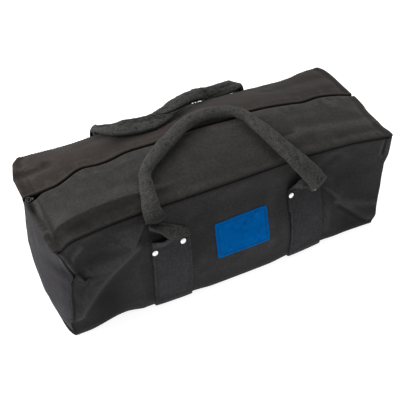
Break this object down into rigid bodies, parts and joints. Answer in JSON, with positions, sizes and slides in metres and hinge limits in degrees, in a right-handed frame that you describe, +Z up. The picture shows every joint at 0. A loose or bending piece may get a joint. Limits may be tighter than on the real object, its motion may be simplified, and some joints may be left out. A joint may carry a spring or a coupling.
{
  "type": "canvas tool bag",
  "caption": "Black canvas tool bag: a long box of cloth with a zipped top, webbing bands round it, rolled webbing handles lying on it and a plain blue label.",
  "frame": {"origin": "on the underside of the base, at the middle of the bag", "axes": "+X along the bag towards its right end as seen from the front, -Y to the front with the label, +Z up"},
  "size_m": [0.4757, 0.2185, 0.2065],
  "materials": {
    "canvas": "woven cotton canvas, matt, black-brown",
    "canvas_top": "woven cotton canvas, matt, dark grey",
    "canvas_end": "woven cotton canvas, matt, bluish dark grey",
    "webbing": "ribbed cotton webbing, matt, dark grey",
    "zip_tape": "woven tape and black teeth",
    "steel": "nickel-plated, satin",
    "label": "blue woven patch, matt"
  },
  "bodies": {
    "root": {"main_panel": "canvas", "top_panel_front": "canvas_top", "top_panel_rear": "canvas_top", "end_panel_left": "canvas_end", "end_panel_right": "canvas_end", "strap_left": "webbing", "strap_right": "webbing", "handle_front": "webbing", "handle_rear": "webbing", "rivet_front_1": "steel", "rivet_front_2": "steel", "rivet_front_3": "steel", "rivet_front_4": "steel", "rivet_rear_1": "steel", "rivet_rear_2": "steel", "rivet_rear_3": "steel", "rivet_rear_4": "steel", "zip": "zip_tape", "zip_slider": "steel", "label": "label"}
  },
  "joints": []
}
